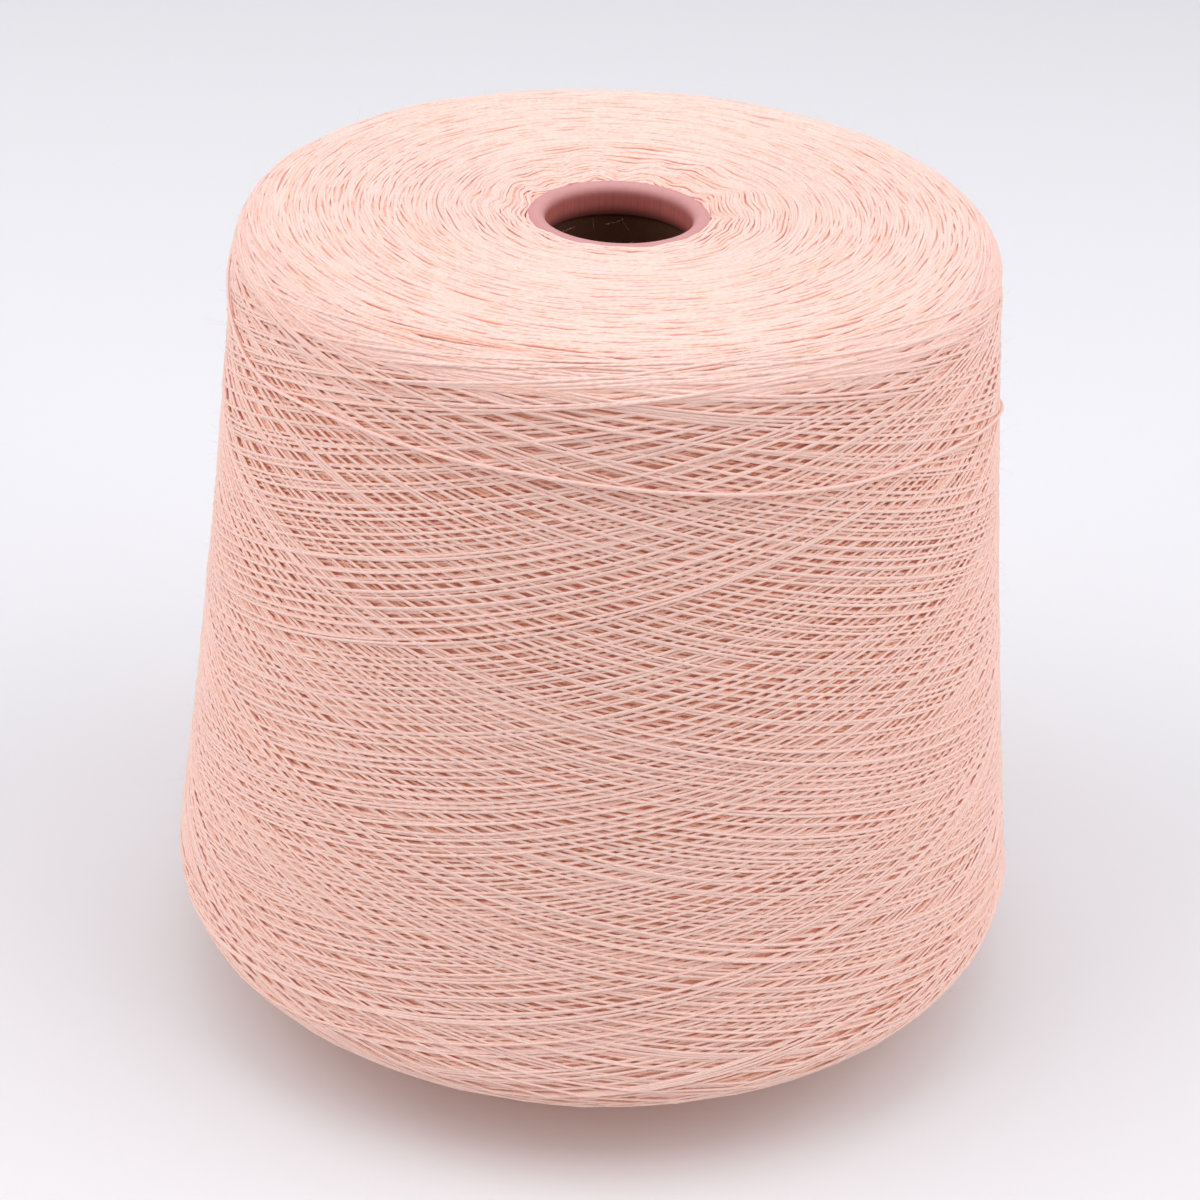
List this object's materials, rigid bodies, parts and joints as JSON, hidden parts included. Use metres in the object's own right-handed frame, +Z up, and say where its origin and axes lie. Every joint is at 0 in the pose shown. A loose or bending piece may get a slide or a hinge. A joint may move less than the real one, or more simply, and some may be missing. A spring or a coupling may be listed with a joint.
{
  "type": "cone of yarn",
  "caption": "Cross-wound tapered package of fine yarn on a hollow paper cone with a rolled nose; stands on the cone's base or on a spindle through its bore.",
  "frame": {"origin": "centre of the cone's cut base edge, on the surface it stands on", "axes": "+Z up along the winding axis, from the wide base to the nose"},
  "size_m": [0.1804, 0.1804, 0.1698],
  "materials": {
    "yarn": "matt fine spun yarn, pale salmon pink",
    "paper": "uncoated rolled paper, dusty pink, raw brown board inside the bore"
  },
  "bodies": {
    "root": {"yarn_package": "yarn", "paper_cone": "paper"}
  },
  "joints": []
}
